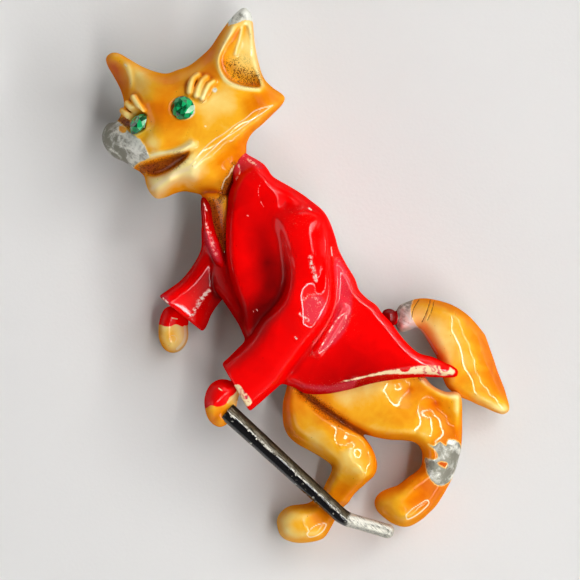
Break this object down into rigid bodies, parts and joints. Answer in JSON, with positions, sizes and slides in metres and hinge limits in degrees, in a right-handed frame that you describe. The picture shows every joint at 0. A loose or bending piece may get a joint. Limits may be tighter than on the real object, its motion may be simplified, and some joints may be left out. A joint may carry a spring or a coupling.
{
  "type": "enamelled fox brooch",
  "caption": "Cast brooch of a fox in a red tailed coat, leaning forward on a stick, with cut stone eyes and a pin across the back.",
  "frame": {"origin": "under the middle of the figure's box, on the surface that it lies on", "axes": "+X to the right and +Y up, towards the ear, as the brooch is seen from the front; +Z out of the front, away from the surface"},
  "size_m": [0.0482, 0.0632, 0.0143],
  "materials": {
    "orange_enamel": "glossy poured enamel over cast white metal, worn through in places",
    "red_enamel": "glossy poured enamel over cast white metal, worn along the hem",
    "black_enamel": "glossy enamel, rubbed to bare metal along the top and at the foot",
    "green_stone": "cut and polished, foil behind",
    "pin_metal": "plain bare metal, slightly dull"
  },
  "bodies": {
    "root": {"head": "orange_enamel", "coat": "red_enamel", "legs": "orange_enamel", "tail": "orange_enamel", "near_paw": "orange_enamel", "far_paw": "orange_enamel", "stick": "black_enamel", "eye_stone_near": "green_stone", "eye_stone_far": "green_stone", "pin_back": "pin_metal"}
  },
  "joints": []
}
